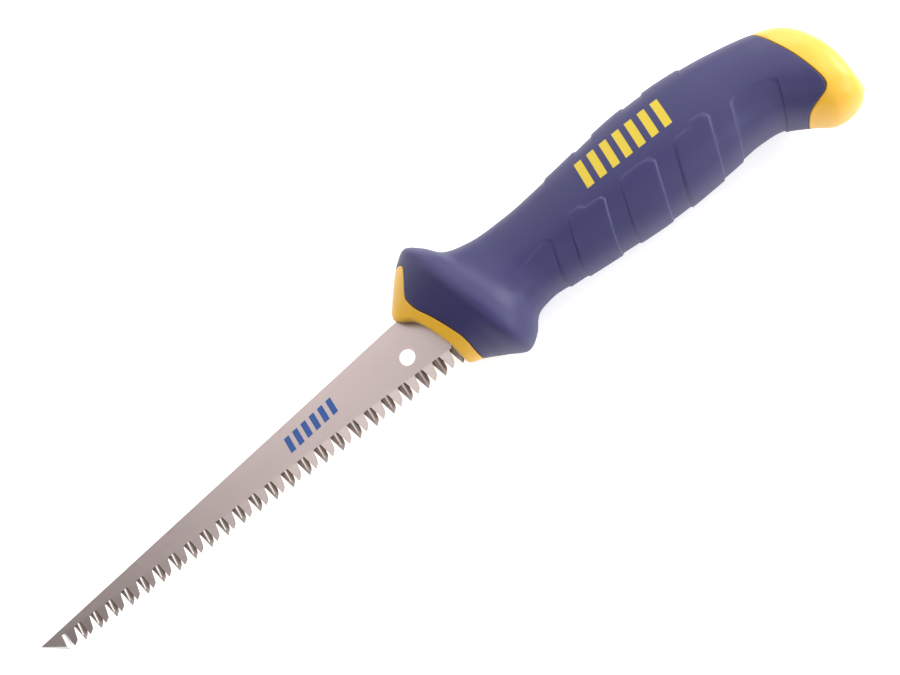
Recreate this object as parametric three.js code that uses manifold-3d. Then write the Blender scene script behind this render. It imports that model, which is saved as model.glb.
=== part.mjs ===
// Jab saw for plasterboard: a fixed, tapered steel blade moulded into a two-material handle.
// Three pieces: the blade with its hidden tang, the hard core with its collar and butt cap, and the
// soft grip sleeve with the finger guard.
import * as THREE from "three";
import { ConvexGeometry } from "three/addons/geometries/ConvexGeometry.js";
import { mergeVertices } from "three/addons/utils/BufferGeometryUtils.js";
import Module from "manifold-3d";

const wasm = await Module();
wasm.setup();

// Working axes, in millimetres: X from the blade's point to the butt, Y from the tooth tips up to the
// back of the blade, Z across the saw with the blade's mid plane at 0.
const GAP = 0.3; // clearance between pieces that touch

// Blade
const BLADE_THICKNESS = 1.2;
const POINT_HEIGHT = 6.3; // height of the blade's point above the tooth tips
const BACK_RISE = 0.108; // rise of the straight back per millimetre of length
const END_CUT_X = 9.1; // where the slanted end cut meets the tooth line
const CORNER_LAND = 0.95; // flat left between the end cut and the first gullet
const HEEL_START_X = 148.5; // the back runs level from here into the collar
const HEEL_X = 160; // the full-height blade ends here
const HEEL_OVERLAP = 4; // how far the tang runs into the heel
const HANG_HOLE = { x: 147.4, y: 11.2, radius: 2.5 };
const TANG = { end: 228, bottom: 5, top: 19, corner: 3 };
const KEY_HOLES = { x: [182, 210], y: 12, radius: 3 };
const KEY_REACH = { hole: 2, pin: 3 }; // how far each runs to both sides of the mid plane

// Teeth: alternate teeth are wide on one side of the blade and narrow on the other.
const PITCH = 3.165; // eight points to the inch
const FIRST_TIP_X = 11.5;
const TOOTH_COUNT = 48;
const TOOTH_SET = 0.2; // sideways bend of each tip towards its wide side
const ROOT_Y = 5.4; // the gullets end here
const WIDE = { rootLeft: [-1.7, ROOT_Y], tip: [-0.1, 0], clip: [1.5, 1.65], rootRight: [1.9, ROOT_Y] };
const NARROW = { rootLeft: [0.22, ROOT_Y], tip: [0.28, 1.4], clip: [0.75, 1.4], rootRight: [0.85, ROOT_Y] };
const TOOTH_ROOT_DEPTH = 0.8; // how far a tooth runs up into the plate

// Handle: each station is a chord from the back outline (backX, backY) to the finger outline
// (fingerX, fingerY), with the half thickness across the saw there.
const STATIONS = [
  { backX: 146.6, backY: 20.2, fingerX: 158.4, fingerY: 0.2, half: 4.0 },
  { backX: 149.7, backY: 24.2, fingerX: 161.9, fingerY: -1.3, half: 5.4 },
  { backX: 155.0, backY: 30.7, fingerX: 166.4, fingerY: -2.7, half: 9.4 },
  { backX: 160.6, backY: 36.2, fingerX: 172.2, fingerY: -5.5, half: 13.8 },
  { backX: 165.3, backY: 38.2, fingerX: 178.0, fingerY: -8.1, half: 16.9 },
  { backX: 169.5, backY: 34.9, fingerX: 182.4, fingerY: -5.6, half: 15.9 },
  { backX: 173.9, backY: 29.9, fingerX: 186.2, fingerY: -1.1, half: 13.6 },
  { backX: 181.6, backY: 27.7, fingerX: 191.4, fingerY: 0.1, half: 12.1 },
  { backX: 194.0, backY: 27.35, fingerX: 199.0, fingerY: -0.25, half: 11.7 },
  { backX: 211.0, backY: 28.85, fingerX: 212.5, fingerY: -1.1, half: 12.7 },
  { backX: 238.0, backY: 31.8, fingerX: 236.0, fingerY: -2, half: 14.0 },
  { backX: 256.0, backY: 31.2, fingerX: 254.0, fingerY: -0.8, half: 14.0 },
  { backX: 269.0, backY: 29.1, fingerX: 264.6, fingerY: 0.2, half: 13.4 },
  { backX: 278.6, backY: 26.6, fingerX: 271.6, fingerY: -0.7, half: 13.2 },
  { backX: 285.5, backY: 23.8, fingerX: 277.4, fingerY: -4.4, half: 13.0 },
  { backX: 289.8, backY: 18.8, fingerX: 282.9, fingerY: -8.4, half: 12.6 },
  { backX: 292.4, backY: 10.5, fingerX: 290.1, fingerY: -8.1, half: 9.7 },
  { backX: 293.3, backY: 4.5, fingerX: 293, fingerY: -5.8, half: 3.9 },
];
const SECTION_POWER = 2.35; // 2 is an ellipse, larger is squarer
const SECTION_SIDES = 28;
const RINGS_PER_STATION = 2;
const GRIP_WALL = 3.4; // soft sleeve over the hard spine

// Plan curves, seen along Z: the collar's front edge, and the two edges of the soft grip.
const COLLAR_FRONT = [
  [138, 41], [149.4, 25.4], [150.1, 23], [151.4, 21.2], [155, 18.5], [157.2, 14.8], [160.5, 6.4],
  [161.6, 1], [162.6, -14],
];
const GRIP_FRONT = [
  [150, 35.6], [156.5, 34.6], [161, 33], [162.4, 31], [160.3, 27.3], [158, 24.3], [157.6, 22.6],
  [158.7, 18.4], [161.5, 12.9], [164.2, 6.6], [165.7, 2], [165.9, -4], [167, -14],
];
const GRIP_BACK = [
  [276.6, 34], [278.4, 27], [279.3, 22.5], [280.5, 17.2], [282.4, 10.2], [283.6, 3], [283.8, -0.7],
  [282.6, -2.4], [280.6, -2.9], [278, -3.2], [276.5, -3.9], [276.4, -6], [277, -16],
];
const PLAN_REACH = 60; // how far cutting prisms run past the handle
const CUT_LENGTH = 400; // how far along X the cutting prisms reach
const HEEL_SLOT = 30; // the slot for the blade runs out past the collar's front edge
const SPLINE_STEPS = 3; // straight steps for each point of a plan curve

const STEEL = new THREE.MeshStandardMaterial({ color: 0xbdb2ae, roughness: 0.35, metalness: 1 });
const YELLOW = new THREE.MeshStandardMaterial({ color: 0xf2c22e, roughness: 0.4, metalness: 0 });
const VIOLET_BLUE = new THREE.MeshStandardMaterial({ color: 0x4a4a7c, roughness: 0.6, metalness: 0 });

// A closed geometry as a solid that can be joined and cut.
function solid(geometry) {
  const bare = geometry.clone();
  bare.deleteAttribute("normal");
  bare.deleteAttribute("uv");
  const merged = mergeVertices(bare, 1e-4);
  return new wasm.Manifold(
    new wasm.Mesh({
      numProp: 3,
      vertProperties: merged.getAttribute("position").array,
      triVerts: new Uint32Array(merged.index.array),
    }),
  );
}

// A joined or cut solid back as a geometry with flat normals.
function geometryOf(made) {
  const { numProp, numVert, vertProperties, triVerts } = made.getMesh();
  const positions = new Float32Array(numVert * 3);
  for (let i = 0; i < numVert; i++) {
    positions.set(vertProperties.subarray(i * numProp, i * numProp + 3), i * 3);
  }
  const indexed = new THREE.BufferGeometry();
  indexed.setAttribute("position", new THREE.BufferAttribute(positions, 3));
  indexed.setIndex(new THREE.BufferAttribute(triVerts, 1));
  const flat = indexed.toNonIndexed();
  flat.computeVertexNormals();
  return flat;
}

// A plan outline (x, y) made into a prism from z = low to z = high.
function prism(shape, low, high, curveSegments = 24) {
  const options = { depth: high - low, bevelEnabled: false, curveSegments };
  return solid(new THREE.ExtrudeGeometry(shape, options).translate(0, 0, low));
}

// Height of the blade's back: a straight rise, then level along the heel.
function backOf(x) {
  return POINT_HEIGHT + BACK_RISE * Math.min(x, HEEL_START_X);
}

// The toothed plate: the plain corner ahead of the first full tooth, the straight back and the heel.
function platePlan() {
  const plan = new THREE.Shape();
  plan.moveTo(0, POINT_HEIGHT);
  plan.lineTo(END_CUT_X, 0);
  plan.lineTo(END_CUT_X + CORNER_LAND, 0);
  plan.lineTo(END_CUT_X + CORNER_LAND, ROOT_Y);
  plan.lineTo(HEEL_X, ROOT_Y);
  plan.lineTo(HEEL_X, backOf(HEEL_X));
  plan.lineTo(HEEL_START_X, backOf(HEEL_START_X));
  plan.lineTo(0, POINT_HEIGHT);
  const hole = new THREE.Path();
  hole.absarc(HANG_HOLE.x, HANG_HOLE.y, HANG_HOLE.radius, 0, 2 * Math.PI, true);
  plan.holes.push(hole);
  return plan;
}

// A bar with round corners, grown by `margin` on every side.
function tangPlan(margin) {
  const left = HEEL_X - HEEL_OVERLAP;
  const right = TANG.end + margin;
  const low = TANG.bottom - margin;
  const high = TANG.top + margin;
  const plan = new THREE.Shape();
  plan.moveTo(left, low);
  plan.lineTo(right - TANG.corner, low);
  plan.absarc(right - TANG.corner, low + TANG.corner, TANG.corner, -Math.PI / 2, 0, false);
  plan.absarc(right - TANG.corner, high - TANG.corner, TANG.corner, 0, Math.PI / 2, false);
  plan.lineTo(left, high);
  plan.closePath();
  return plan;
}

function keyHole(x, radius, halfDepth) {
  const cylinder = new THREE.CylinderGeometry(radius, radius, 2 * halfDepth, 32);
  cylinder.rotateX(Math.PI / 2);
  return solid(cylinder.translate(x, KEY_HOLES.y, 0));
}

// One tooth: wide on one side of the blade and narrow on the other, with its tip bent to the wide side.
function tooth(tipX, wideSide) {
  const half = BLADE_THICKNESS / 2;
  const rootTop = ROOT_Y + TOOTH_ROOT_DEPTH;
  const bendAt = (y) => TOOTH_SET * (1 - y / ROOT_Y);
  const rootHalf = half + bendAt(rootTop);
  const corners = [];
  const add = (profile, side) => {
    for (const [x, y] of Object.values(profile)) {
      corners.push(new THREE.Vector3(tipX + x, y, side * half + wideSide * bendAt(y)));
    }
    for (const [x] of [profile.rootLeft, profile.rootRight]) {
      corners.push(new THREE.Vector3(tipX + x, rootTop, side * rootHalf));
    }
  };
  add(WIDE, wideSide);
  add(NARROW, -wideSide);
  return solid(new ConvexGeometry(corners));
}

function bladeSolid() {
  const half = BLADE_THICKNESS / 2;
  let blade = prism(platePlan(), -half, half).add(prism(tangPlan(0), -half, half));
  for (let i = 0; i < TOOTH_COUNT; i++) {
    blade = blade.add(tooth(FIRST_TIP_X + i * PITCH, i % 2 === 0 ? 1 : -1));
  }
  for (const x of KEY_HOLES.x) {
    blade = blade.subtract(keyHole(x, KEY_HOLES.radius, KEY_REACH.hole));
  }
  return blade;
}

// Room for the blade inside the core, open at the front.
function bladeSlot() {
  const half = BLADE_THICKNESS / 2 + GAP;
  const heel = new THREE.Shape();
  const heelStart = HEEL_X - HEEL_SLOT;
  const heelEnd = HEEL_X + PITCH + GAP;
  heel.moveTo(heelStart, -GAP);
  heel.lineTo(heelEnd, -GAP);
  heel.lineTo(heelEnd, backOf(heelEnd) + GAP);
  heel.lineTo(heelStart, backOf(heelEnd) + GAP);
  heel.closePath();
  return prism(heel, -half - TOOTH_SET, half + TOOTH_SET).add(prism(tangPlan(GAP), -half, half));
}

// One ring of the handle: a rounded section spanned between the two outlines, taken in by `inset`.
function ring(back, finger, half, inset) {
  const middle = back.clone().add(finger).multiplyScalar(0.5);
  const across = back.clone().sub(finger);
  const halfChord = across.length() / 2 - inset;
  across.normalize();
  const points = [];
  for (let i = 0; i < SECTION_SIDES; i++) {
    const angle = (2 * Math.PI * i) / SECTION_SIDES;
    const along = Math.sign(Math.cos(angle)) * Math.abs(Math.cos(angle)) ** (2 / SECTION_POWER);
    const out = Math.sign(Math.sin(angle)) * Math.abs(Math.sin(angle)) ** (2 / SECTION_POWER);
    const point = across.clone().multiplyScalar(halfChord * along).add(middle);
    points.push(new THREE.Vector3(point.x, point.y, (half - inset) * out));
  }
  return points;
}

// The handle's closed surface through all its stations, taken in by `inset`.
function handleLoft(inset) {
  const backs = new THREE.CatmullRomCurve3(STATIONS.map((s) => new THREE.Vector3(s.backX, s.backY, s.half)));
  const fingers = new THREE.CatmullRomCurve3(STATIONS.map((s) => new THREE.Vector3(s.fingerX, s.fingerY, 0)));
  const steps = (STATIONS.length - 1) * RINGS_PER_STATION;
  const rings = [];
  for (let i = 0; i <= steps; i++) {
    const back = backs.getPoint(i / steps);
    const finger = fingers.getPoint(i / steps);
    const half = back.z;
    back.z = 0;
    rings.push(ring(back, finger, half, inset));
  }
  const centres = [rings[0], rings[steps]].map((r) =>
    r.reduce((sum, p) => sum.add(p), new THREE.Vector3()).multiplyScalar(1 / SECTION_SIDES),
  );
  const positions = [];
  const triangle = (a, b, c) => positions.push(...a.toArray(), ...b.toArray(), ...c.toArray());
  for (let j = 0; j < SECTION_SIDES; j++) {
    const next = (j + 1) % SECTION_SIDES;
    triangle(centres[0], rings[0][next], rings[0][j]);
    triangle(centres[1], rings[steps][j], rings[steps][next]);
    for (let i = 0; i < steps; i++) {
      triangle(rings[i][j], rings[i + 1][next], rings[i + 1][j]);
      triangle(rings[i][j], rings[i][next], rings[i + 1][next]);
    }
  }
  const geometry = new THREE.BufferGeometry();
  geometry.setAttribute("position", new THREE.Float32BufferAttribute(positions, 3));
  return solid(geometry);
}

// Everything on the blade side (side = -1) or the butt side (side = 1) of a plan curve, moved by `shift`.
function besideCurve(curve, side, shift) {
  const far = side * CUT_LENGTH;
  const points = curve.map(([x, y]) => new THREE.Vector2(x + shift, y));
  const first = points[0];
  const last = points[points.length - 1];
  const plan = new THREE.Shape();
  plan.moveTo(first.x, first.y + PLAN_REACH);
  plan.lineTo(first.x, first.y);
  plan.splineThru(points.slice(1));
  plan.lineTo(last.x, last.y - PLAN_REACH);
  plan.lineTo(last.x + far, last.y - PLAN_REACH);
  plan.lineTo(first.x + far, first.y + PLAN_REACH);
  plan.closePath();
  return prism(plan, -PLAN_REACH, PLAN_REACH, SPLINE_STEPS);
}

// Hard core: collar, spine round the tang and butt cap in one moulding, keyed through the tang's holes.
function coreSolid(outer) {
  const collar = outer.intersect(besideCurve(GRIP_FRONT, -1, 0));
  const butt = outer.intersect(besideCurve(GRIP_BACK, 1, 0));
  const spine = outer.intersect(handleLoft(GRIP_WALL));
  let core = collar.add(spine).add(butt).subtract(bladeSlot());
  for (const x of KEY_HOLES.x) {
    core = core.add(keyHole(x, KEY_HOLES.radius - GAP, KEY_REACH.pin));
  }
  return core;
}

// Soft grip: the sleeve between the collar and the butt cap, with the finger guard.
function gripSolid(outer) {
  const edgeGap = 1.5 * GAP;
  return outer
    .subtract(besideCurve(GRIP_FRONT, -1, edgeGap))
    .subtract(besideCurve(GRIP_BACK, 1, -edgeGap))
    .subtract(handleLoft(GRIP_WALL - GAP));
}

function namedMesh(name, made, material) {
  const mesh = new THREE.Mesh(geometryOf(made), material);
  mesh.name = name;
  return mesh;
}

const outer = handleLoft(0).subtract(besideCurve(COLLAR_FRONT, -1, 0));
const saw = new THREE.Group();
saw.add(namedMesh("blade", bladeSolid(), STEEL));
saw.add(namedMesh("handle_core", coreSolid(outer), YELLOW));
saw.add(namedMesh("grip", gripSolid(outer), VIOLET_BLUE));

// The saw lies on its side: its box is centred over the origin and its lowest point is at Z = 0.
const box = new THREE.Box3().setFromObject(saw);
const centre = box.getCenter(new THREE.Vector3());
saw.position.set(-centre.x, -centre.y, -box.min.z);

const part = new THREE.Group();
part.add(saw);
export default part;
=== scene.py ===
"""A jab saw for plasterboard: toothed steel blade, hard yellow core and soft violet-blue grip.

Working sizes are in millimetres on the saw's own axes: X from the blade's point to the butt, Y from the
tooth tips up to the back, Z across the saw with the blade's mid plane at 0.
"""

import math

import bmesh
import bpy
import numpy as np
from mathutils import Matrix, Vector


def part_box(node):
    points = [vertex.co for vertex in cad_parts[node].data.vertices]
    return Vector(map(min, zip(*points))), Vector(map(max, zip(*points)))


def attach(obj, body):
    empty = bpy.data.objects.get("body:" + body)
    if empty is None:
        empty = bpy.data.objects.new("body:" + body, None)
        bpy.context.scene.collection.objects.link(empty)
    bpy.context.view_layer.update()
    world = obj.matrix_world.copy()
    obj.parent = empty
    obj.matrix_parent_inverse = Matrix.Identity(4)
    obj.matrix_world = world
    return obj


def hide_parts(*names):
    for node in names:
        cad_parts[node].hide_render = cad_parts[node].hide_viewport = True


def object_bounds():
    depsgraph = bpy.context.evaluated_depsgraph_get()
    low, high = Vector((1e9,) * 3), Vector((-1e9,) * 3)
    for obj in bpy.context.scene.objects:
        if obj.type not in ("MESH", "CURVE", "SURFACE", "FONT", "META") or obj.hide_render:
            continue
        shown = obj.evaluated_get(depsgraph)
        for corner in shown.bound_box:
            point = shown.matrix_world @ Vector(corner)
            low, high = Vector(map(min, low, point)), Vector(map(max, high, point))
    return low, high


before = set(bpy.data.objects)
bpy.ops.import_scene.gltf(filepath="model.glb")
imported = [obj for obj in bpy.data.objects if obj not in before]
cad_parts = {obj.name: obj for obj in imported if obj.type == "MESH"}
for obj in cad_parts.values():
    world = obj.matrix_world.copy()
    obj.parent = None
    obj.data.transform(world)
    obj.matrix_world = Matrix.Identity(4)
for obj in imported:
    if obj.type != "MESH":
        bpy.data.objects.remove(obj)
cad_low, cad_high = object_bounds()
blade_low, blade_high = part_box("blade")

METRE = 0.001
ORIGIN = Vector((blade_low.x, blade_low.y, (blade_low.z + blade_high.z) / 2))

# Blade
THICKNESS = 1.2
POINT_HEIGHT = 6.3
BACK_RISE = 0.108
END_CUT_X = 9.1
CORNER_X = 8.45  # the plain corner ends here and the half tooth beside it begins
# Width and depth of the ground bevel, before the point and past the corner.
END_BEVELS = [(0.15, 0.1), (0.95, 0.6)]
HEEL_START_X = 148.5
HEEL_X = 160.0
HANG_HOLE = (147.4, 11.2, 2.5)
PITCH = 3.165
FIRST_TIP_X = 11.5
TOOTH_COUNT = 48
TOOTH_SET = 0.2
ROOT_Y = 5.4  # the gullets end here
TOOTH_ROOT_DEPTH = 0.8
WIDE = [(-1.7, ROOT_Y), (-0.22, 0.05), (0.05, 0), (1.25, 1.2), (1.55, 2.1), (1.9, ROOT_Y)]
CORNER_WIDE = [(0, ROOT_Y), (0, 0), (1.75, 0), (1.6, 1.6), (1.3, ROOT_Y)]  # half tooth at the plain corner
NARROW = [(0.27, ROOT_Y), (0.33, 1.4), (0.7, 1.4), (0.8, ROOT_Y)]

# Handle stations: back outline x, y, finger outline x, y, half thickness.
STATIONS = np.array(
    [
        (146.6, 20.2, 158.4, 0.2, 4.0),
        (149.7, 24.2, 161.9, -1.3, 5.4),
        (155.0, 30.7, 166.4, -2.7, 9.4),
        (160.6, 36.2, 172.2, -5.5, 13.8),
        (165.3, 38.2, 178.0, -8.1, 16.9),
        (169.5, 34.9, 182.4, -5.6, 15.9),
        (173.9, 29.9, 186.2, -1.1, 13.6),
        (181.6, 27.7, 191.4, 0.1, 12.1),
        (194.0, 27.35, 199.0, -0.25, 11.7),
        (211.0, 28.85, 212.5, -1.1, 12.7),
        (238.0, 31.8, 236.0, -2, 14.0),
        (256.0, 31.2, 254.0, -0.8, 14.0),
        (269.0, 29.1, 264.6, 0.2, 13.4),
        (278.6, 26.6, 271.6, -0.7, 13.2),
        (285.5, 23.8, 277.4, -4.4, 13.0),
        (289.8, 18.8, 282.9, -8.4, 12.6),
        (292.4, 10.5, 290.1, -8.1, 9.7),
        (293.3, 4.5, 293, -5.8, 3.9),
    ]
)
SECTION_POWER = 2.35
GRIP_WALL = 3.4

# Plan curves: the collar's front edge, and the two edges of the soft grip.
COLLAR_FRONT = [
    (138, 41), (149.4, 25.4), (150.1, 23), (151.4, 21.2), (155, 18.5), (157.2, 14.8), (160.5, 6.4),
    (161.6, 1), (162.6, -14),
]
GRIP_FRONT = [
    (150, 35.6), (156.5, 34.6), (161, 33), (162.4, 31), (160.3, 27.3), (158, 24.3), (157.6, 22.6),
    (158.7, 18.4), (161.5, 12.9), (164.2, 6.6), (165.7, 2), (165.9, -4), (167, -14),
]
GRIP_BACK = [
    (276.6, 34), (278.4, 27), (279.3, 22.5), (280.5, 17.2), (282.4, 10.2), (283.6, 3), (283.8, -0.7),
    (282.6, -2.4), (280.6, -2.9), (278, -3.2), (276.5, -3.9), (276.4, -6), (277, -16),
]
SEAM = 0.05  # half of the open line between the grip and the collar
BUTT_SEAM = 0.11  # the same, at the butt cap
ROLL = 0.35  # rolled edge of the soft grip

# Finger panels in plan, with their height over the grip's skin: a panel runs on round the finger side.
LEAN = 0.387  # the panels' sides lean this far along X for each millimetre up
PANELS = [
    (
        -0.5,
        [
            (174, -12), (184, 4), (186.5, 6.8), (190.6, 8.4),
            (197.2, 9.9), (200.4, 10.5), (201.5, 9.2), (193.1, -12),
        ],
    ),
    (
        0.5,
        [
            (199.7, -12), (208.6, 11.2), (209.6, 12.3), (212.9, 12.2),
            (214.2, 10.8), (219.1, 10.5), (219.8, 9.3), (210.8, -12),
        ],
    ),
    (
        0.42,
        [(217.2, -12), (225.9, 10.4), (227.2, 11.2), (232.6, 11.2), (235.5, 10.7), (236.6, 9.2), (228.5, -12)],
    ),
    (
        0.5,
        [
            (234.6, -12), (243.2, 9.8), (244.5, 10.7), (248.7, 10.9),
            (250.4, 12.3), (254, 12), (254.9, 10.4), (246.1, -12),
        ],
    ),
    (
        -0.52,
        [(253.2, -12), (261.6, 9.6), (263, 10.7), (268.4, 10.3), (273.6, 8.8), (274.7, 7.2), (267.3, -12)],
    ),
]
STEP = 0.3  # half width of a panel's sloping edge
BACK_PADS = [(199.4, 210.3), (216.6, 227.6), (234.3, 246.5)]  # leaned positions of their two sides
BACK_PAD_HEIGHT = 0.5
BACK_PAD_STEP = 0.5


COINCIDENT = 1e-6  # points nearer than this, in metres, are one point


def to_metres(points):
    return np.asarray(points) * METRE + np.array(ORIGIN)


def smooth_curve(t, values):
    """A smooth curve through values at t that keeps close to the straight runs between them."""
    reach = np.concatenate([[2 * t[0] - t[1]], t, [2 * t[-1] - t[-2]]])
    padded = np.vstack([2 * values[0] - values[1], values, 2 * values[-1] - values[-2]])
    gap = np.diff(reach)[:, None]
    slope = np.diff(padded, axis=0) / gap
    tangent = (slope[:-1] * gap[1:] + slope[1:] * gap[:-1]) / (gap[:-1] + gap[1:])

    def at(u):
        u = np.clip(u, t[0], t[-1])
        i = np.clip(np.searchsorted(t, u, side="right") - 1, 0, len(t) - 2)
        span = (t[i + 1] - t[i])[..., None]
        w = (u - t[i])[..., None] / span
        return (
            values[i] * (2 * w**3 - 3 * w**2 + 1)
            + values[i + 1] * (3 * w**2 - 2 * w**3)
            + tangent[i] * span * (w**3 - 2 * w**2 + w)
            + tangent[i + 1] * span * (w**3 - w**2)
        )

    return at


CHORDS = np.diff(STATIONS, axis=0)
MEAN_STEP = (np.linalg.norm(CHORDS[:, [0, 1, 4]], axis=1) + np.linalg.norm(CHORDS[:, 2:4], axis=1)) / 2
STATION_AT = np.concatenate([[0], np.cumsum(MEAN_STEP)])
LENGTH = STATION_AT[-1]
outlines = smooth_curve(STATION_AT, STATIONS)


def section(angle):
    """The rounded section: how far along the chord and how far out, from -1 to 1."""
    power = 2 / SECTION_POWER
    along = np.sign(np.cos(angle)) * np.abs(np.cos(angle)) ** power
    out = np.sign(np.sin(angle)) * np.abs(np.sin(angle)) ** power
    return along, out


def skin(u, angle, inset=0.0):
    """Points on the handle's skin: u runs from the collar to the butt, angle 0 is the back."""
    u, angle, inset = np.broadcast_arrays(u, angle, inset)
    row = outlines(u)
    back, finger, half = row[..., 0:2], row[..., 2:4], row[..., 4]
    along, out = section(angle)
    across = back - finger
    length = np.linalg.norm(across, axis=-1)
    reach = ((length / 2 - inset) * along / length)[..., None]
    plan = (back + finger) / 2 + across * reach
    return np.concatenate([plan, ((half - inset) * out)[..., None]], axis=-1)


def skin_normal(u, angle):
    small = 1e-2
    along = skin(u + small, angle) - skin(u - small, angle)
    round_ = skin(u, angle + small) - skin(u, angle - small)
    normal = np.cross(round_, along)
    return normal / np.maximum(np.linalg.norm(normal, axis=-1, keepdims=True), 1e-9)


def round_angles(count, fine=()):
    """Angles evenly spaced by length round a nominal section, closer together where `fine` asks."""
    dense = np.linspace(0, 2 * math.pi, 4001)
    along, out = section(dense)
    step = np.hypot(np.diff(along) * 15, np.diff(out) * 13)
    middle = (along[1:] + along[:-1]) / 2
    weight = np.ones(len(step))
    for low, high, factor in fine:
        weight[(middle > low) & (middle < high)] = factor
    distance = np.concatenate([[0], np.cumsum(step * weight)])
    return np.interp(np.arange(count) * distance[-1] / count, distance, dense)


def plan_edge(points):
    """A smooth plan curve as x for each y."""
    points = np.array(points, float)
    padded = np.vstack([2 * points[0] - points[1], points, 2 * points[-1] - points[-2]])
    t = np.linspace(0, 1, 16, endpoint=False)[:, None]
    runs = []
    for p0, p1, p2, p3 in zip(padded, padded[1:], padded[2:], padded[3:]):
        square = 2 * p0 - 5 * p1 + 4 * p2 - p3
        cube = 3 * p1 - p0 - 3 * p2 + p3
        runs.append(0.5 * (2 * p1 + (p2 - p0) * t + square * t**2 + cube * t**3))
    curve = np.vstack(runs + [points[-1:]])[::-1]
    y = np.maximum.accumulate(curve[:, 1])
    return lambda level: np.interp(level, y, curve[:, 0])


def crossing(edge, angles):
    """For each angle, the u at which the skin passes a plan edge."""
    u = np.linspace(0, LENGTH, 2400)
    points = skin(u[:, None], angles[None, :])
    past = points[..., 0] - edge(points[..., 1])
    found = []
    for column in past.T:
        inside = np.nonzero(column < 0)[0]
        if len(inside) == 0:
            found.append(0.0)
            continue
        i = min(inside[-1], len(u) - 2)
        found.append(u[i] + (u[i + 1] - u[i]) * column[i] / (column[i] - column[i + 1]))
    return np.array(found)


def polygon_distance(x, y, corners):
    """Distance from points in plan to a closed outline, positive inside."""
    corners = np.array(corners, float)
    nearest = np.full(x.shape, 1e9)
    inside = np.zeros(x.shape, bool)
    for (ax, ay), (bx, by) in zip(corners, np.roll(corners, -1, axis=0)):
        ex, ey = bx - ax, by - ay
        t = np.clip(((x - ax) * ex + (y - ay) * ey) / (ex * ex + ey * ey), 0, 1)
        nearest = np.minimum(nearest, np.hypot(x - ax - t * ex, y - ay - t * ey))
        crosses = (ay > y) != (by > y)
        inside ^= crosses & (x < ax + ex * (y - ay) / (by - ay if by != ay else 1e-9))
    return np.where(inside, nearest, -nearest)


def ease(x):
    x = np.clip(x, 0, 1)
    return x * x * (3 - 2 * x)


def panel_height(points, along):
    """Height of the moulded panels over the grip's skin, and how near a panel's edge each point is."""
    x, y = points[..., 0], points[..., 1]
    height = np.zeros(x.shape)
    edge = np.zeros(x.shape)
    for index, (rise, outline) in enumerate(PANELS):
        distance = polygon_distance(x, y, outline)
        fade = 0.62 + 0.38 * ease((4 - y) / 6)
        if index == 0:
            fade = fade * ease((x - 186) / 9)
        height += rise * fade * ease((distance + STEP) / (2 * STEP))
        edge = np.maximum(edge, fade * np.exp(-((distance / 0.5) ** 2)))
    leaned = x - LEAN * y
    for low, high in BACK_PADS:
        distance = np.minimum(leaned - low, high - leaned)
        over = ease((along - 0.7) / 0.28)
        height += BACK_PAD_HEIGHT * over * ease((distance + BACK_PAD_STEP) / (2 * BACK_PAD_STEP))
        edge = np.maximum(edge, over * np.exp(-((distance / 0.5) ** 2)))
    return height, edge


def mesh_of_rings(name, rings, capped=False, looped=False):
    """A closed mesh from rings of points (ring, point, xyz). It is capped at both ends or looped."""
    count, sides = rings.shape[:2]
    vertices = rings.reshape(-1, 3)
    first = np.arange(count if looped else count - 1)[:, None] * sides
    second = (np.arange(1, count + 1)[:, None] % count * sides)[: len(first)]
    here = np.arange(sides)[None, :]
    there = (here + 1) % sides
    quads = np.stack([first + here, second + here, second + there, first + there], -1).reshape(-1, 4)
    faces = quads.tolist()
    if capped:
        ends = [rings[0].mean(0), rings[-1].mean(0)]
        vertices = np.vstack([vertices, ends])
        a, b = len(vertices) - 2, len(vertices) - 1
        last = (count - 1) * sides
        faces += [(a, j, (j + 1) % sides) for j in range(sides)]
        faces += [(b, last + (j + 1) % sides, last + j) for j in range(sides)]
    mesh = bpy.data.meshes.new(name)
    mesh.from_pydata(to_metres(vertices).tolist(), [], faces)
    mesh.polygons.foreach_set("use_smooth", [True] * len(faces))
    mesh.update()
    piece = bpy.data.objects.new(name, mesh)
    bpy.context.scene.collection.objects.link(piece)
    return face_out(piece)


def face_out(piece):
    """Turns a closed mesh's faces outwards."""
    mesh = piece.data
    mesh.calc_loop_triangles()
    corner = np.zeros(len(mesh.vertices) * 3)
    mesh.vertices.foreach_get("co", corner)
    corner = corner.reshape(-1, 3)
    index = np.zeros(len(mesh.loop_triangles) * 3, int)
    mesh.loop_triangles.foreach_get("vertices", index)
    a, b, c = (corner[index[k::3]] - corner.mean(0) for k in range(3))
    if np.einsum("ij,ij->i", a, np.cross(b, c)).sum() < 0:
        mesh.flip_normals()
    return piece


def merge_coincident(piece):
    """Joins points that lie on one another, and drops the faces that had no area."""
    shape = bmesh.new()
    shape.from_mesh(piece.data)
    bmesh.ops.remove_doubles(shape, verts=shape.verts, dist=COINCIDENT)
    bmesh.ops.dissolve_degenerate(shape, dist=COINCIDENT, edges=shape.edges)
    shape.to_mesh(piece.data)
    shape.free()
    return piece


def within_cad(points):
    """Keeps points inside the CAD model's box."""
    low = (np.array(cad_low) - np.array(ORIGIN)) / METRE
    high = (np.array(cad_high) - np.array(ORIGIN)) / METRE
    return np.clip(points, low, high)


# ---------------------------------------------------------------- grip


def grip_columns():
    """Leaned positions of the grip's rings: close together at each panel side."""
    sides = [197.5, 204.4, 215.7, 221.9, 233.1, 239.2, 250.7, 257.8, 271.9]
    sides += [side for pad in BACK_PADS for side in pad]
    close = [side + shift for side in sides for shift in (-0.42, -0.26, -0.13, 0, 0.13, 0.26, 0.42)]
    plain = [x for x in np.arange(184, 273.5, 0.75) if min(abs(x - c) for c in close) > 0.3]
    return np.array(sorted(close + plain))


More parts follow.
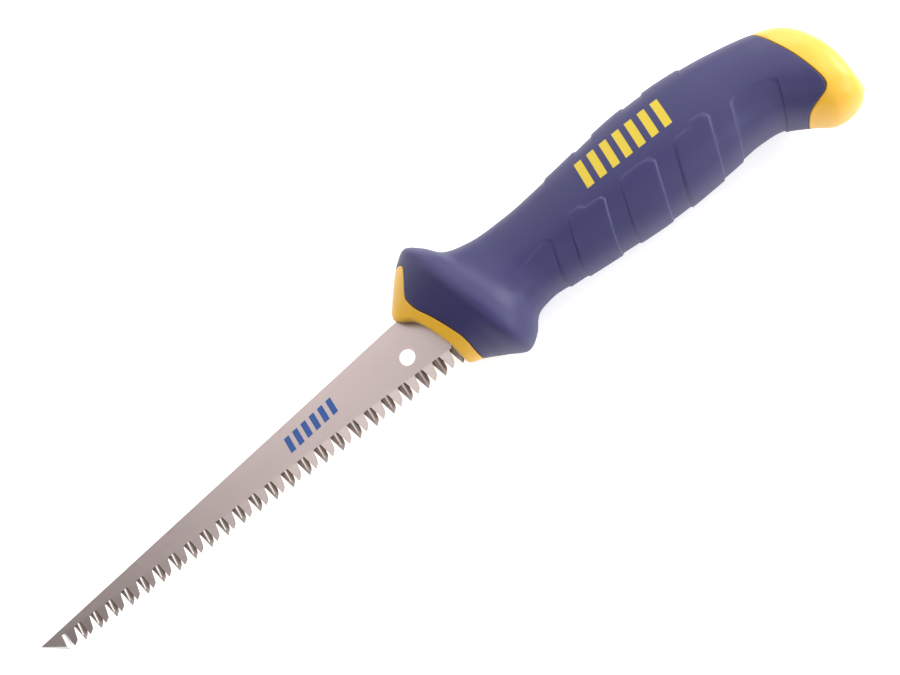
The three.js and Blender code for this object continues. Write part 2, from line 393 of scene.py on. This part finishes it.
NEAR_EDGE = np.array([0, 0.03, 0.08, 0.16, 0.28, 0.6, 1.0])  # rings beside each end of the grip
TIGHT_FROM = 248.0  # on the back, the rings past here close up to the butt's boundary
INNER_WALL = GRIP_WALL - 0.25  # the sleeve's inside, just in the core


def grip_places(angles, along):
    """Where the grip's rings cross each angle, as u: the rings lean as the panels do."""
    start = crossing(plan_edge(GRIP_FRONT), angles) + SEAM
    end = crossing(plan_edge(GRIP_BACK), angles) - BUTT_SEAM
    u = np.linspace(0, LENGTH, 1600)
    points = skin(u[:, None], angles[None, :])
    leaned = points[..., 0] - LEAN * points[..., 1]
    columns = grip_columns()
    rings = []
    finger = ease((0.6 - along) / 0.5)
    for j in range(len(angles)):
        low, high = np.interp([start[j], end[j]], u, leaned[:, j])
        lead = np.concatenate([low + NEAR_EDGE, np.linspace(low + 1.0, columns[0], 44)[1:-1]])
        shrink = (high - 3 - TIGHT_FROM) / (columns[-1] - TIGHT_FROM)
        stretch = np.where(columns > TIGHT_FROM, TIGHT_FROM + (columns - TIGHT_FROM) * shrink, columns)
        middle = finger[j] * columns + (1 - finger[j]) * stretch
        tail = np.concatenate([np.linspace(middle[-1], high - 1.0, 20)[1:-1], high - NEAR_EDGE[::-1]])
        target = np.concatenate([lead, middle, tail])
        rings.append(np.interp(target, leaned[:, j], u))
    return np.array(rings).T


def edge_roll(count):
    """How far each ring is taken in, so that both ends of the grip roll over."""
    roll = np.zeros(count)
    for k, distance in enumerate(NEAR_EDGE):
        inside = max(ROLL - distance, 0)
        roll[k] = roll[count - 1 - k] = ROLL - math.sqrt(ROLL**2 - inside**2)
    return roll


def grip_piece():
    angles = round_angles(216, fine=[(-0.38, -0.04, 2.4), (0.75, 0.95, 1.3)])
    along, _ = section(angles)
    place = grip_places(angles, along)
    outside = skin(place, angles[None, :])
    normal = skin_normal(place, angles[None, :])
    height, edge = panel_height(outside, along[None, :])
    outer = outside + normal * (height - edge_roll(len(place))[:, None])[..., None]
    inner = skin(place[::12], angles[None, :], INNER_WALL)[::-1]
    inner[0] = skin(place[-1:], angles[None, :], INNER_WALL)[0]
    inner[-1] = skin(place[:1], angles[None, :], INNER_WALL)[0]
    piece = mesh_of_rings("soft_grip_sleeve", within_cad(np.concatenate([outer, inner])), looped=True)
    # Painted highlight along the panels' edges, kept on each point of the outer skin.
    painted_edge_highlight = np.concatenate([edge.ravel(), np.zeros(inner.shape[0] * inner.shape[1])])
    piece.data.attributes.new("painted_edge_highlight", "FLOAT", "POINT").data.foreach_set("value", painted_edge_highlight)
    return piece


# ---------------------------------------------------------------- core


RIM = 0.8  # rounding of the collar's front edge
SLOT_MIDDLE = 11.2  # the blade's slot in the collar's front face, in Y and Z
SLOT_HALF_HEIGHT = 11.5
SLOT_HALF_WIDTH = 0.9
BUTT_BULGE = 0.2
STEP_BACK = 0.3  # the last of the collar and the first of the butt curve in to the seam over this length


def collar_face(front_edge, angles, lip):
    """The collar's front face, from deep in the blade's slot out to the rim."""
    along, out = section(angles)
    slot_y = SLOT_MIDDLE + SLOT_HALF_HEIGHT * np.clip(along * 1.25, -1, 1)
    slot_z = SLOT_HALF_WIDTH * np.clip(out * 3, -1, 1)
    slot = np.stack([front_edge(slot_y), slot_y, slot_z], -1)
    face = [lip * (1 - t) + slot * t for t in (0.66, 0.33)]
    for ring in face:
        ring[:, 0] = front_edge(ring[:, 1])
    pocket = [slot + np.array([depth, 0, 0]) for depth in (3.0, 0.3)]
    return [*pocket, slot, *face]


def butt_end(angles):
    """The butt's end, domed inside its last ring."""
    last = skin(np.full_like(angles, LENGTH), angles)
    centre = last.mean(0)
    scales = (0.9, 0.75, 0.5, 0.25)
    return [centre + (last - centre) * s + np.array([BUTT_BULGE * (1 - s * s), 0, 0]) for s in scales]


def core_piece():
    angles = round_angles(200)
    rows = angles[None, :]
    front_edge, seam_edge, butt_edge = (plan_edge(c) for c in (COLLAR_FRONT, GRIP_FRONT, GRIP_BACK))
    front = crossing(front_edge, angles)
    seam = crossing(seam_edge, angles) - SEAM
    butt = crossing(butt_edge, angles) + BUTT_SEAM
    turn = np.linspace(math.pi / 2, 0, 6)[:, None]
    rim = skin(front + RIM * (1 - np.sin(turn)), rows, RIM * (1 - np.cos(turn)))
    run = seam - STEP_BACK - front - RIM
    collar = [skin(front + RIM + run * t, rows) for t in np.linspace(0.08, 1, 26)]
    inward = ((0.18, 0.02), (0.26, 0.07), (0.3, 0.16), (0.3, 1.0))
    collar += [skin(seam - STEP_BACK + d, rows, i) for d, i in inward]
    spine = [skin(seam + (butt - seam) * t, rows, GRIP_WALL) for t in np.linspace(0, 1, 60)]
    outward = ((0, 1.0), (0, 0.22), (0.05, 0.1), (0.15, 0.03), (0.3, 0.0))
    cap = [skin(butt + d, rows, i) for d, i in outward]
    run = LENGTH - butt - STEP_BACK
    cap += [skin(butt + STEP_BACK + run * t, rows) for t in np.linspace(0.02, 1, 70)]
    sleeve = [ring[0] for ring in collar + spine + cap]
    rings = [*collar_face(front_edge, angles, rim[0]), *rim, *sleeve, *butt_end(angles)]
    return merge_coincident(mesh_of_rings("hard_core", within_cad(np.array(rings)), capped=True))


# ---------------------------------------------------------------- blade


def back_of(x):
    return POINT_HEIGHT + BACK_RISE * min(x, HEEL_START_X)


def prism_object(name, outline, low, high):
    count = len(outline)
    vertices = [(x, y, low) for x, y in outline] + [(x, y, high) for x, y in outline]
    faces = [tuple(range(count))[::-1], tuple(range(count, 2 * count))]
    faces += [(i, (i + 1) % count, (i + 1) % count + count, i + count) for i in range(count)]
    return plain_object(name, vertices, faces)


def plain_object(name, vertices, faces):
    mesh = bpy.data.meshes.new(name)
    mesh.from_pydata((np.asarray(vertices, float) * METRE).tolist(), [], faces)
    mesh.update()
    piece = bpy.data.objects.new(name, mesh)
    bpy.context.scene.collection.objects.link(piece)
    return face_out(piece)


def end_cutter(material):
    """Everything past the slanted end cut, with the ground bevel on the front face."""
    top = THICKNESS / 2
    run = Vector((END_CUT_X, -POINT_HEIGHT)).normalized()
    inward = Vector((-run.y, run.x))
    vertices = []
    for (wide, deep), distance in zip(END_BEVELS, (-1, 12)):
        end = Vector((0, POINT_HEIGHT)) + run * distance
        slope = deep / wide
        profile = [(-3, -2), (0, -2), (0, top - deep), (1.5, top - deep + 1.5 * slope), (-3, 2)]
        vertices += [(*(end + inward * n), z) for n, z in profile]
    count = len(profile)
    faces = [tuple(range(count)), tuple(range(count, 2 * count))[::-1]]
    faces += [(i, i + count, (i + 1) % count + count, (i + 1) % count) for i in range(count)]
    cutter = plain_object("end_cutter", vertices, faces)
    cutter.data.materials.append(material)
    return cutter


def bend_at(y):
    return TOOTH_SET * (1 - y / ROOT_Y)


def hull_object(name, corners, material):
    shape = bmesh.new()
    for corner in corners:
        shape.verts.new(np.array(corner) * METRE)
    bmesh.ops.convex_hull(shape, input=shape.verts)
    mesh = bpy.data.meshes.new(name)
    shape.to_mesh(mesh)
    shape.free()
    mesh.materials.append(material)
    piece = bpy.data.objects.new(name, mesh)
    bpy.context.scene.collection.objects.link(piece)
    return piece


def tooth_object(name, wide_side, material, wide=WIDE, narrow=NARROW):
    """One tooth, tip at x = 0: wide on one side of the blade and narrow on the other."""
    corners = []
    root = ROOT_Y + TOOTH_ROOT_DEPTH
    for outline, side in ((wide, wide_side), (narrow, -wide_side)):
        for x, y in outline:
            corners.append((x, y, side * THICKNESS / 2 + wide_side * bend_at(y)))
        for x in (outline[0][0], outline[-1][0]):
            corners.append((x, root, side * (THICKNESS / 2 + bend_at(root))))
    return hull_object(name, corners, material)


def blade_outline():
    corner_y = POINT_HEIGHT * (1 - CORNER_X / END_CUT_X)
    return [
        (0, POINT_HEIGHT),
        (CORNER_X, corner_y),
        (CORNER_X, ROOT_Y),
        (HEEL_X, ROOT_Y),
        (HEEL_X, back_of(HEEL_X)),
        (HEEL_START_X, back_of(HEEL_START_X)),
    ]


class Tree:
    """Adds nodes to a node tree: type, settings set first, then the values or links of its sockets."""

    def __init__(self, tree):
        self.tree = tree

    def node(self, kind, settings=None, inputs=None):
        made = self.tree.nodes.new(kind)
        for key, value in (settings or {}).items():
            setattr(made, key, value)
        for key, value in (inputs or {}).items():
            socket = made.inputs[key]
            if isinstance(value, Wire):
                value = value.socket
            if isinstance(value, bpy.types.NodeSocket):
                self.tree.links.new(value, socket)
            else:
                socket.default_value = value
        return made


class Wire:
    """A socket that takes part in arithmetic: each operator adds a Math node."""

    def __init__(self, maker, socket):
        self.maker = maker
        self.socket = socket

    def math(self, operation, *others, clamp=False):
        values = dict(enumerate((self, *others)))
        made = self.maker.node("ShaderNodeMath", {"operation": operation, "use_clamp": clamp}, values)
        return Wire(self.maker, made.outputs[0])

    def reflected(self, operation, other):
        made = self.maker.node("ShaderNodeMath", {"operation": operation}, {0: other, 1: self})
        return Wire(self.maker, made.outputs[0])

    def __add__(self, other):
        return self.math("ADD", other)

    __radd__ = __add__

    def __sub__(self, other):
        return self.math("SUBTRACT", other)

    def __rsub__(self, other):
        return self.reflected("SUBTRACT", other)

    def __mul__(self, other):
        return self.math("MULTIPLY", other)

    __rmul__ = __mul__

    def __truediv__(self, other):
        return self.math("DIVIDE", other)

    def __rtruediv__(self, other):
        return self.reflected("DIVIDE", other)

    def __pow__(self, other):
        return self.math("POWER", other)

    def __mod__(self, other):
        return self.math("FLOORED_MODULO", other)

    def __neg__(self):
        return self * -1

    def __abs__(self):
        return self.math("ABSOLUTE")

    def clamped(self):
        return self.math("ADD", 0, clamp=True)


def socket_named(tree, name):
    for item in tree.interface.items_tree:
        if item.name == name and item.in_out == "INPUT":
            return item.identifier
    raise KeyError(name)


BLADE_INPUTS = (
    ("Plate", "NodeSocketGeometry"),
    ("Right Tooth", "NodeSocketObject"),
    ("Left Tooth", "NodeSocketObject"),
    ("Corner Tooth", "NodeSocketObject"),
    ("Pitch", "NodeSocketFloat"),
    ("First Tip", "NodeSocketVector"),
    ("Teeth", "NodeSocketInt"),
    ("Hole Centre", "NodeSocketVector"),
    ("Hole Radius", "NodeSocketFloat"),
    ("End Cutter", "NodeSocketObject"),
    ("Edge Steel", "NodeSocketMaterial"),
    ("Ground Steel", "NodeSocketMaterial"),
)
FLAT_ENOUGH = 0.985  # a face whose normal leans further than this from Z is a ground bevel


def tooth_rows(make, given):
    """Two rows of teeth, bent and bevelled to opposite sides, one pitch apart."""
    double = make.node("ShaderNodeMath", {"operation": "MULTIPLY"}, {0: given["Pitch"], 1: 2.0})
    step = make.node("ShaderNodeCombineXYZ", None, {"X": double.outputs[0]})
    half = make.node("ShaderNodeMath", {"operation": "MULTIPLY"}, {0: given["Teeth"], 1: 0.5})
    shift = make.node("ShaderNodeCombineXYZ", None, {"X": given["Pitch"]})
    moved = {0: given["First Tip"], 1: shift.outputs[0]}
    second = make.node("ShaderNodeVectorMath", {"operation": "ADD"}, moved)
    rows = []
    for tooth, start in (("Right Tooth", given["First Tip"]), ("Left Tooth", second.outputs[0])):
        line = make.node(
            "GeometryNodeMeshLine",
            {"mode": "OFFSET"},
            {"Count": half.outputs[0], "Start Location": start, "Offset": step.outputs[0]},
        )
        shape = make.node("GeometryNodeObjectInfo", None, {"Object": given[tooth]})
        copies = make.node(
            "GeometryNodeInstanceOnPoints", None, {"Points": line.outputs[0], "Instance": shape.outputs["Geometry"]}
        )
        rows.append(make.node("GeometryNodeRealizeInstances", None, {0: copies.outputs[0]}).outputs[0])
    return rows


def joined_blade(make, given):
    """The plate and its teeth in one solid."""
    corner = make.node("GeometryNodeObjectInfo", None, {"Object": given["Corner Tooth"]})
    exact = {"operation": "UNION", "solver": "EXACT"}
    union = make.node("GeometryNodeMeshBoolean", exact, {"Self Intersection": True})
    for part in [given["Plate"], *tooth_rows(make, given), corner.outputs["Geometry"]]:
        make.tree.links.new(part, union.inputs["Mesh 2"])
    return union.outputs[0]


def cut_blade(make, given):
    """The joined blade with its hanging hole drilled and its end cut and bevelled."""
    size = {"Vertices": 48, "Radius": given["Hole Radius"], "Depth": 0.01}
    drill = make.node("GeometryNodeMeshCylinder", None, size)
    hole = {"Geometry": drill.outputs[0], "Translation": given["Hole Centre"]}
    placed = make.node("GeometryNodeTransform", None, hole)
    cut = make.node("GeometryNodeObjectInfo", None, {"Object": given["End Cutter"]})
    drilled = make.node("GeometryNodeMeshBoolean", {"operation": "DIFFERENCE", "solver": "EXACT"}, {})
    make.tree.links.new(joined_blade(make, given), drilled.inputs["Mesh 1"])
    for part in (placed.outputs[0], cut.outputs["Geometry"]):
        make.tree.links.new(part, drilled.inputs["Mesh 2"])
    return drilled.outputs[0]


def bevel_faces(make, given):
    """True on every face that leans and isn't part of the end cut."""
    normal = make.node("GeometryNodeInputNormal")
    parts = make.node("ShaderNodeSeparateXYZ", None, {0: normal.outputs[0]})
    flat = make.node("ShaderNodeMath", {"operation": "ABSOLUTE"}, {0: parts.outputs["Z"]})
    less = {"data_type": "FLOAT", "operation": "LESS_THAN"}
    leaning = make.node("FunctionNodeCompare", less, {0: flat.outputs[0], 1: FLAT_ENOUGH})
    edge = make.node("GeometryNodeMaterialSelection", None, {"Material": given["Edge Steel"]})
    both = {0: leaning.outputs[0], 1: edge.outputs[0]}
    return make.node("FunctionNodeBooleanMath", {"operation": "NIMPLY"}, both).outputs[0]


def blade_tree():
    """Sets two rows of teeth along the plate, joins them, and drills the hanging hole."""
    group = bpy.data.node_groups.new("toothed_blade", "GeometryNodeTree")
    for name, kind in BLADE_INPUTS:
        group.interface.new_socket(name, in_out="INPUT", socket_type=kind)
    group.interface.new_socket("Blade", in_out="OUTPUT", socket_type="NodeSocketGeometry")
    make = Tree(group)
    given = make.node("NodeGroupInput").outputs
    real = make.node("GeometryNodeRealizeInstances", None, {0: cut_blade(make, given)})
    last = make.node(
        "GeometryNodeSetMaterial",
        None,
        {"Geometry": real.outputs[0], "Selection": bevel_faces(make, given), "Material": given["Ground Steel"]},
    )
    make.node("NodeGroupOutput", None, {0: last.outputs[0]})
    return group


def baked_piece(name, obj):
    """The evaluated object as a plain mesh, with the modifier and its source gone."""
    bpy.context.view_layer.update()
    evaluated = obj.evaluated_get(bpy.context.evaluated_depsgraph_get())
    mesh = bpy.data.meshes.new_from_object(evaluated)
    mesh.name = name
    bpy.data.objects.remove(obj)
    piece = bpy.data.objects.new(name, mesh)
    bpy.context.scene.collection.objects.link(piece)
    return piece


def blade_piece(sheet, ground, near_land, far_land, edge):
    plate = prism_object("plate_blank", blade_outline(), -THICKNESS / 2, THICKNESS / 2)
    plate.data.materials.append(sheet)
    teeth = [tooth_object("tooth_right", 1, near_land), tooth_object("tooth_left", -1, far_land)]
    tip = FIRST_TIP_X - PITCH
    near = [(CORNER_X - tip, ROOT_Y), (CORNER_X - tip, 0), (0.85, 0), (0.5, ROOT_Y)]
    # The half tooth at the corner takes the end cut's steel, painted near white as a highlight.
    corner = tooth_object("corner_tooth", -1, edge, CORNER_WIDE, near)
    corner.data.transform(Matrix.Translation((tip * METRE, 0, 0)))
    cutter = end_cutter(edge)
    tree = blade_tree()
    maker = plate.modifiers.new("teeth", "NODES")
    maker.node_group = tree
    values = {
        "Right Tooth": teeth[0],
        "Left Tooth": teeth[1],
        "Corner Tooth": corner,
        "Pitch": PITCH * METRE,
        "First Tip": (FIRST_TIP_X * METRE, 0.0, 0.0),
        "Teeth": TOOTH_COUNT,
        "Hole Centre": (HANG_HOLE[0] * METRE, HANG_HOLE[1] * METRE, 0.0),
        "Hole Radius": HANG_HOLE[2] * METRE,
        "End Cutter": cutter,
        "Edge Steel": edge,
        "Ground Steel": ground,
    }
    for name, value in values.items():
        maker[socket_named(tree, name)] = value
    piece = baked_piece("toothed_blade", plate)
    for tool in (*teeth, corner, cutter):
        bpy.data.objects.remove(tool)
    piece.data.transform(Matrix.Translation(ORIGIN))
    piece.data.polygons.foreach_set("use_smooth", [False] * len(piece.data.polygons))
    piece.data.update()
    return face_out(merge_coincident(piece))


# ---------------------------------------------------------------- finishes


class Finish(Tree):
    """A material built from a Principled shader."""

    def __init__(self, name):
        self.material = bpy.data.materials.new(name)
        self.material.use_nodes = True
        super().__init__(self.material.node_tree)
        self.tree.nodes.clear()

    def wire(self, socket):
        return Wire(self, socket)

    def place(self):
        """Object coordinates turned to the saw's own axes in millimetres: x, y, z."""
        spot = self.node("ShaderNodeTexCoord").outputs["Object"]
        own = self.node("ShaderNodeVectorMath", {"operation": "SUBTRACT"}, {0: spot, 1: ORIGIN})
        size = self.node("ShaderNodeVectorMath", {"operation": "SCALE"}, {0: own.outputs[0], "Scale": 1 / METRE})
        parts = self.node("ShaderNodeSeparateXYZ", None, {0: size.outputs[0]})
        return size.outputs[0], [self.wire(parts.outputs[k]) for k in "XYZ"]

    def noise(self, vector, stretch, detail=4.0, roughness=0.55):
        spot = self.node("ShaderNodeVectorMath", {"operation": "MULTIPLY"}, {0: vector, 1: stretch})
        made = self.node(
            "ShaderNodeTexNoise", {"noise_dimensions": "3D"},
            {"Vector": spot.outputs[0], "Scale": 1.0, "Detail": detail, "Roughness": roughness},
        )
        return self.wire(made.outputs[0])

    def mix(self, factor, first, second):
        made = self.node("ShaderNodeMix", {"data_type": "RGBA"}, {0: factor, 6: first, 7: second})
        return made.outputs[2]

    def bump(self, height, strength, distance):
        made = self.node("ShaderNodeBump", None, {"Height": height, "Strength": strength, "Distance": distance})
        return made.outputs[0]

    def shade(self, inputs):
        surface = self.node("ShaderNodeBsdfPrincipled", None, inputs)
        self.node("ShaderNodeOutputMaterial", None, {"Surface": surface.outputs[0]})
        return self.material


def bars(make, x, y, start, tilt, size, pitch, share, lean):
    """Mask of a plain block of leaning bars: start corner, tilt of the row, (length, height)."""
    cos, sin = math.cos(tilt), math.sin(tilt)
    along = (x - start[0]) * cos + (y - start[1]) * sin
    up = (y - start[1]) * cos - (x - start[0]) * sin
    sheared = along - up * lean
    soft = 0.06
    in_bar = ((share * pitch / 2 - abs(sheared % pitch - pitch / 2)) / soft + 0.5).clamped()
    in_row = ((size[0] / 2 - abs(sheared - size[0] / 2)) / soft + 0.5).clamped()
    in_height = ((size[1] / 2 - abs(up - size[1] / 2)) / soft + 0.5).clamped()
    return in_bar * in_row * in_height


def sheet_steel():
    make = Finish("brushed_sheet_steel")
    spot, (x, y, z) = make.place()
    brushed = make.noise(spot, (0.35, 9.0, 9.0), 5.0)
    cloud = make.noise(spot, (0.05, 0.12, 0.12), 2.0)
    tone = (brushed - 0.5) * 0.5 + (cloud - 0.5) * 0.5 + 0.5
    metal = make.mix(tone.clamped(), (0.345, 0.287, 0.277, 1), (0.415, 0.345, 0.333, 1))
    mark = bars(make, x, y, (101.3, 8.5), math.radians(6.2), (20.6, 5.1), 3.43, 0.58, 0.1)
    mark = mark * (z / 0.1).clamped()
    return make.shade(
        {
            "Base Color": make.mix(mark, metal, (0.006, 0.048, 0.21, 1)),
            "Metallic": 1 - mark,
            "Roughness": (brushed - 0.5) * 0.12 + 0.36 + mark * 0.1,
            "Normal": make.bump(brushed, 0.08, 0.0002),
        }
    )


def steel_with_painted_reflection(name, at_point, at_handle, polish=1.0):
    """Ground flats with painted reflection: their brightness runs evenly from the blade's point to the handle."""
    make = Finish(name)
    spot, (x, _, _) = make.place()
    lines = make.noise(spot, (10.0, 2.0, 3.0), 3.0)
    # Painted reflection: the colour runs from the point's colour to the handle's along the blade.
    colour = make.mix((x / HEEL_X + (lines - 0.5) * 0.15).clamped(), at_point, at_handle)
    return make.shade(
        {"Base Color": colour, "Metallic": polish, "Roughness": 0.33, "Normal": make.bump(lines, 0.05, 0.0002)}
    )


def ground_steel_painted_shade():
    # Ground tooth bevels with painted shade: the dark base colour is partly the rougher ground finish and partly
    # painted shade on the leaning bevels.
    make = Finish("ground_tooth_steel_painted_shade")
    spot, (_, y, _) = make.place()
    lines = make.noise(spot, (14.0, 0.8, 3.0), 4.0)
    # Painted light: the bevels are lighter towards the tooth tips and darker up towards the gullets.
    tip = ((2.2 - y) / 2.2).clamped()
    colour = make.mix(lines, (0.205, 0.146, 0.122, 1), (0.285, 0.212, 0.18, 1))
    facing = make.node("ShaderNodeNewGeometry").outputs["Normal"]
    ahead = make.wire(make.node("ShaderNodeSeparateXYZ", None, {0: facing}).outputs["X"])
    painted_handle_side_shade = (ahead * 4).clamped()  # painted shade: the bevels that face the handle are darker
    colour = make.mix(painted_handle_side_shade * 0.75, colour, (0.115, 0.08, 0.066, 1))
    colour = make.mix(tip * 0.55, colour, (0.42, 0.38, 0.36, 1))
    return make.shade(
        {"Base Color": colour, "Metallic": 0.2, "Roughness": 0.5, "Normal": make.bump(lines, 0.1, 0.0002)}
    )


def hard_yellow():
    make = Finish("hard_yellow_plastic")
    spot, _ = make.place()
    grain = make.noise(spot, (3.0, 3.0, 3.0), 3.0)
    cloud = make.noise(spot, (0.06, 0.06, 0.06), 2.0)
    colour = make.mix(cloud, (0.66, 0.355, 0.02, 1), (0.70, 0.39, 0.027, 1))
    return make.shade(
        {
            "Base Color": colour,
            "Roughness": (grain - 0.5) * 0.1 + 0.38,
            "Normal": make.bump(grain, 0.05, 0.0001),
        }
    )


def soft_blue():
    make = Finish("soft_violet_blue_grip")
    spot, (x, y, z) = make.place()
    grain = make.noise(spot, (7.0, 7.0, 7.0), 3.0)
    cloud = make.noise(spot, (0.05, 0.05, 0.05), 3.0)
    painted_edge_highlight = make.wire(make.node("ShaderNodeAttribute", {"attribute_name": "painted_edge_highlight"}).outputs["Fac"])
    colour = make.mix(cloud, (0.0155, 0.0132, 0.077, 1), (0.0185, 0.0158, 0.089, 1))
    # Painted highlight: a lighter blue along the panels' edges.
    colour = make.mix(painted_edge_highlight * 0.1, colour, (0.09, 0.085, 0.19, 1))
    mark = bars(make, x, y, (216.9, 14.7), math.radians(0.6), (30.6, 9.0), 4.37, 0.55, 0.12)
    mark = mark * (z / 0.1).clamped()
    return make.shade(
        {
            "Base Color": make.mix(mark, colour, (0.5, 0.37, 0.015, 1)),
            "Roughness": (grain - 0.5) * 0.12 + 0.5,
            "Normal": make.bump(grain, 0.12, 0.0001),
            "Specular IOR Level": 0.5,
        }
    )


# ---------------------------------------------------------------- stage


def stage_piece(name, vertices, faces, finish):
    mesh = bpy.data.meshes.new(name)
    mesh.from_pydata(vertices, [], faces)
    mesh.materials.append(finish)
    piece = bpy.data.objects.new(name, mesh)
    bpy.context.scene.collection.objects.link(piece)
    return piece


STAGE_REACH = 3.0  # metres from the middle of the floor to the screen
FLOOR_GLOW = (0.42, 0.42, 0.42, 1)  # the floor's own light under the saw
FAR_GLOW = (1, 1, 1, 1)  # and far off, where the soft boxes no longer light it
GLOW_START, GLOW_RUN = 800.0, 400.0  # millimetres from the blade's point
SCREEN_SIDES = 48


def pale_floor():
    make = Finish("pale_floor")
    _, (x, y, _) = make.place()
    far = (((x * x + y * y) ** 0.5 - GLOW_START) / GLOW_RUN).clamped()
    return make.shade(
        {
            "Base Color": (0.9, 0.9, 0.9, 1),
            "Roughness": 0.9,
            "Emission Color": make.mix(far, FLOOR_GLOW, FAR_GLOW),
            "Emission Strength": 1.0,
        }
    )


def floor_and_backdrop():
    """A pale floor under the saw, and a plain white screen far round it that gives no light."""
    wide, down = STAGE_REACH, cad_low.z - 0.0002
    square = [(-wide, -wide, down), (wide, -wide, down), (wide, wide, down), (-wide, wide, down)]
    stage_piece("pale_floor", square, [(0, 1, 2, 3)], pale_floor())
    turns = np.linspace(0, 2 * math.pi, SCREEN_SIDES, endpoint=False)
    vertices = [(wide * math.cos(a), wide * math.sin(a), z) for z in (down - 1, wide) for a in turns]
    nexts = [(i, (i + 1) % SCREEN_SIDES) for i in range(SCREEN_SIDES)]
    white = {"Base Color": (0, 0, 0, 1), "Emission Color": (1, 1, 1, 1), "Emission Strength": 1.2}
    screen = stage_piece(
        "white_screen",
        vertices,
        [(i, j, j + SCREEN_SIDES, i + SCREEN_SIDES) for i, j in nexts],
        Finish("white_screen").shade(white),
    )
    for kind in ("diffuse", "glossy", "transmission", "volume_scatter", "shadow"):
        setattr(screen, "visible_" + kind, False)


# Soft boxes round the saw: azimuth from +X and elevation in degrees, and power in watts.
SOFT_BOXES = [
    (0, 22, 4.7),
    (45, 22, 2.3),
    (90, 22, 1.2),
    (135, 22, 1.2),
    (225, 22, 0.33),
    (270, 22, 0.85),
    (315, 22, 2.7),
    (0, 55, 1.3),
    (60, 55, 1.2),
    (120, 55, 1.2),
    (180, 55, 0.52),
    (240, 55, 0.91),
    (300, 55, 0.52),
]
BOX_SIZE = 0.45
BOX_DISTANCE = 0.75
LIT_POINT = Vector((0.05, 0, 0.02))


def soft_box(azimuth, elevation, power):
    data = bpy.data.lights.new("soft_box", "AREA")
    data.shape = "DISK"
    data.size = BOX_SIZE
    data.energy = power
    light = bpy.data.objects.new("soft_box", data)
    a, e = math.radians(azimuth), math.radians(elevation)
    out = Vector((math.cos(a) * math.cos(e), math.sin(a) * math.cos(e), math.sin(e)))
    light.location = LIT_POINT + out * BOX_DISTANCE
    light.rotation_euler = (-out).to_track_quat("-Z", "Y").to_euler()
    light.visible_camera = False
    bpy.context.scene.collection.objects.link(light)


def studio():
    world = bpy.data.worlds.new("studio")
    world.use_nodes = True
    background = world.node_tree.nodes["Background"]
    background.inputs["Color"].default_value = (1, 1, 1, 1)
    background.inputs["Strength"].default_value = 0.04
    bpy.context.scene.world = world
    for box in SOFT_BOXES:
        soft_box(*box)


def camera():
    data = bpy.data.cameras.new("camera")
    data.sensor_width = 36
    data.lens = 41.44
    data.clip_start = 0.01
    view = bpy.data.objects.new("camera", data)
    view.location = ORIGIN + Vector((200.29, -98.11, 280.85)) * METRE
    view.rotation_euler = [math.radians(angle) for angle in (12.96, 17.95, -33.08)]
    bpy.context.scene.collection.objects.link(view)
    bpy.context.scene.camera = view


camera()
studio()
floor_and_backdrop()
bpy.context.scene.view_settings.view_transform = "Standard"

grip = grip_piece()
grip.data.materials.append(soft_blue())
core = core_piece()
core.data.materials.append(hard_yellow())
blade = blade_piece(
    sheet_steel(),
    ground_steel_painted_shade(),
    # Painted reflection: the wide land brightens a little towards the handle.
    steel_with_painted_reflection("wide_land_painted_reflection", (0.355, 0.293, 0.28, 1), (0.39, 0.33, 0.312, 1)),
    # Painted reflection: the narrow land runs from near white at the point to dark grey at the handle.
    steel_with_painted_reflection("narrow_land_painted_reflection", (1.0, 0.98, 0.96, 1), (0.3, 0.25, 0.235, 1), 0.3),
    # Painted highlight: the end cut and the corner's half tooth are painted near white.
    steel_with_painted_reflection("end_cut_painted_highlight", (0.95, 0.93, 0.92, 1), (0.95, 0.93, 0.92, 1), 0.2),
)

for piece, node, slot in (
    (grip, "grip", "soft_grip"),
    (core, "handle_core", "hard_plastic"),
    (blade, "blade", "blade_steel"),
):
    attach(piece, "root")
    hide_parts(node)
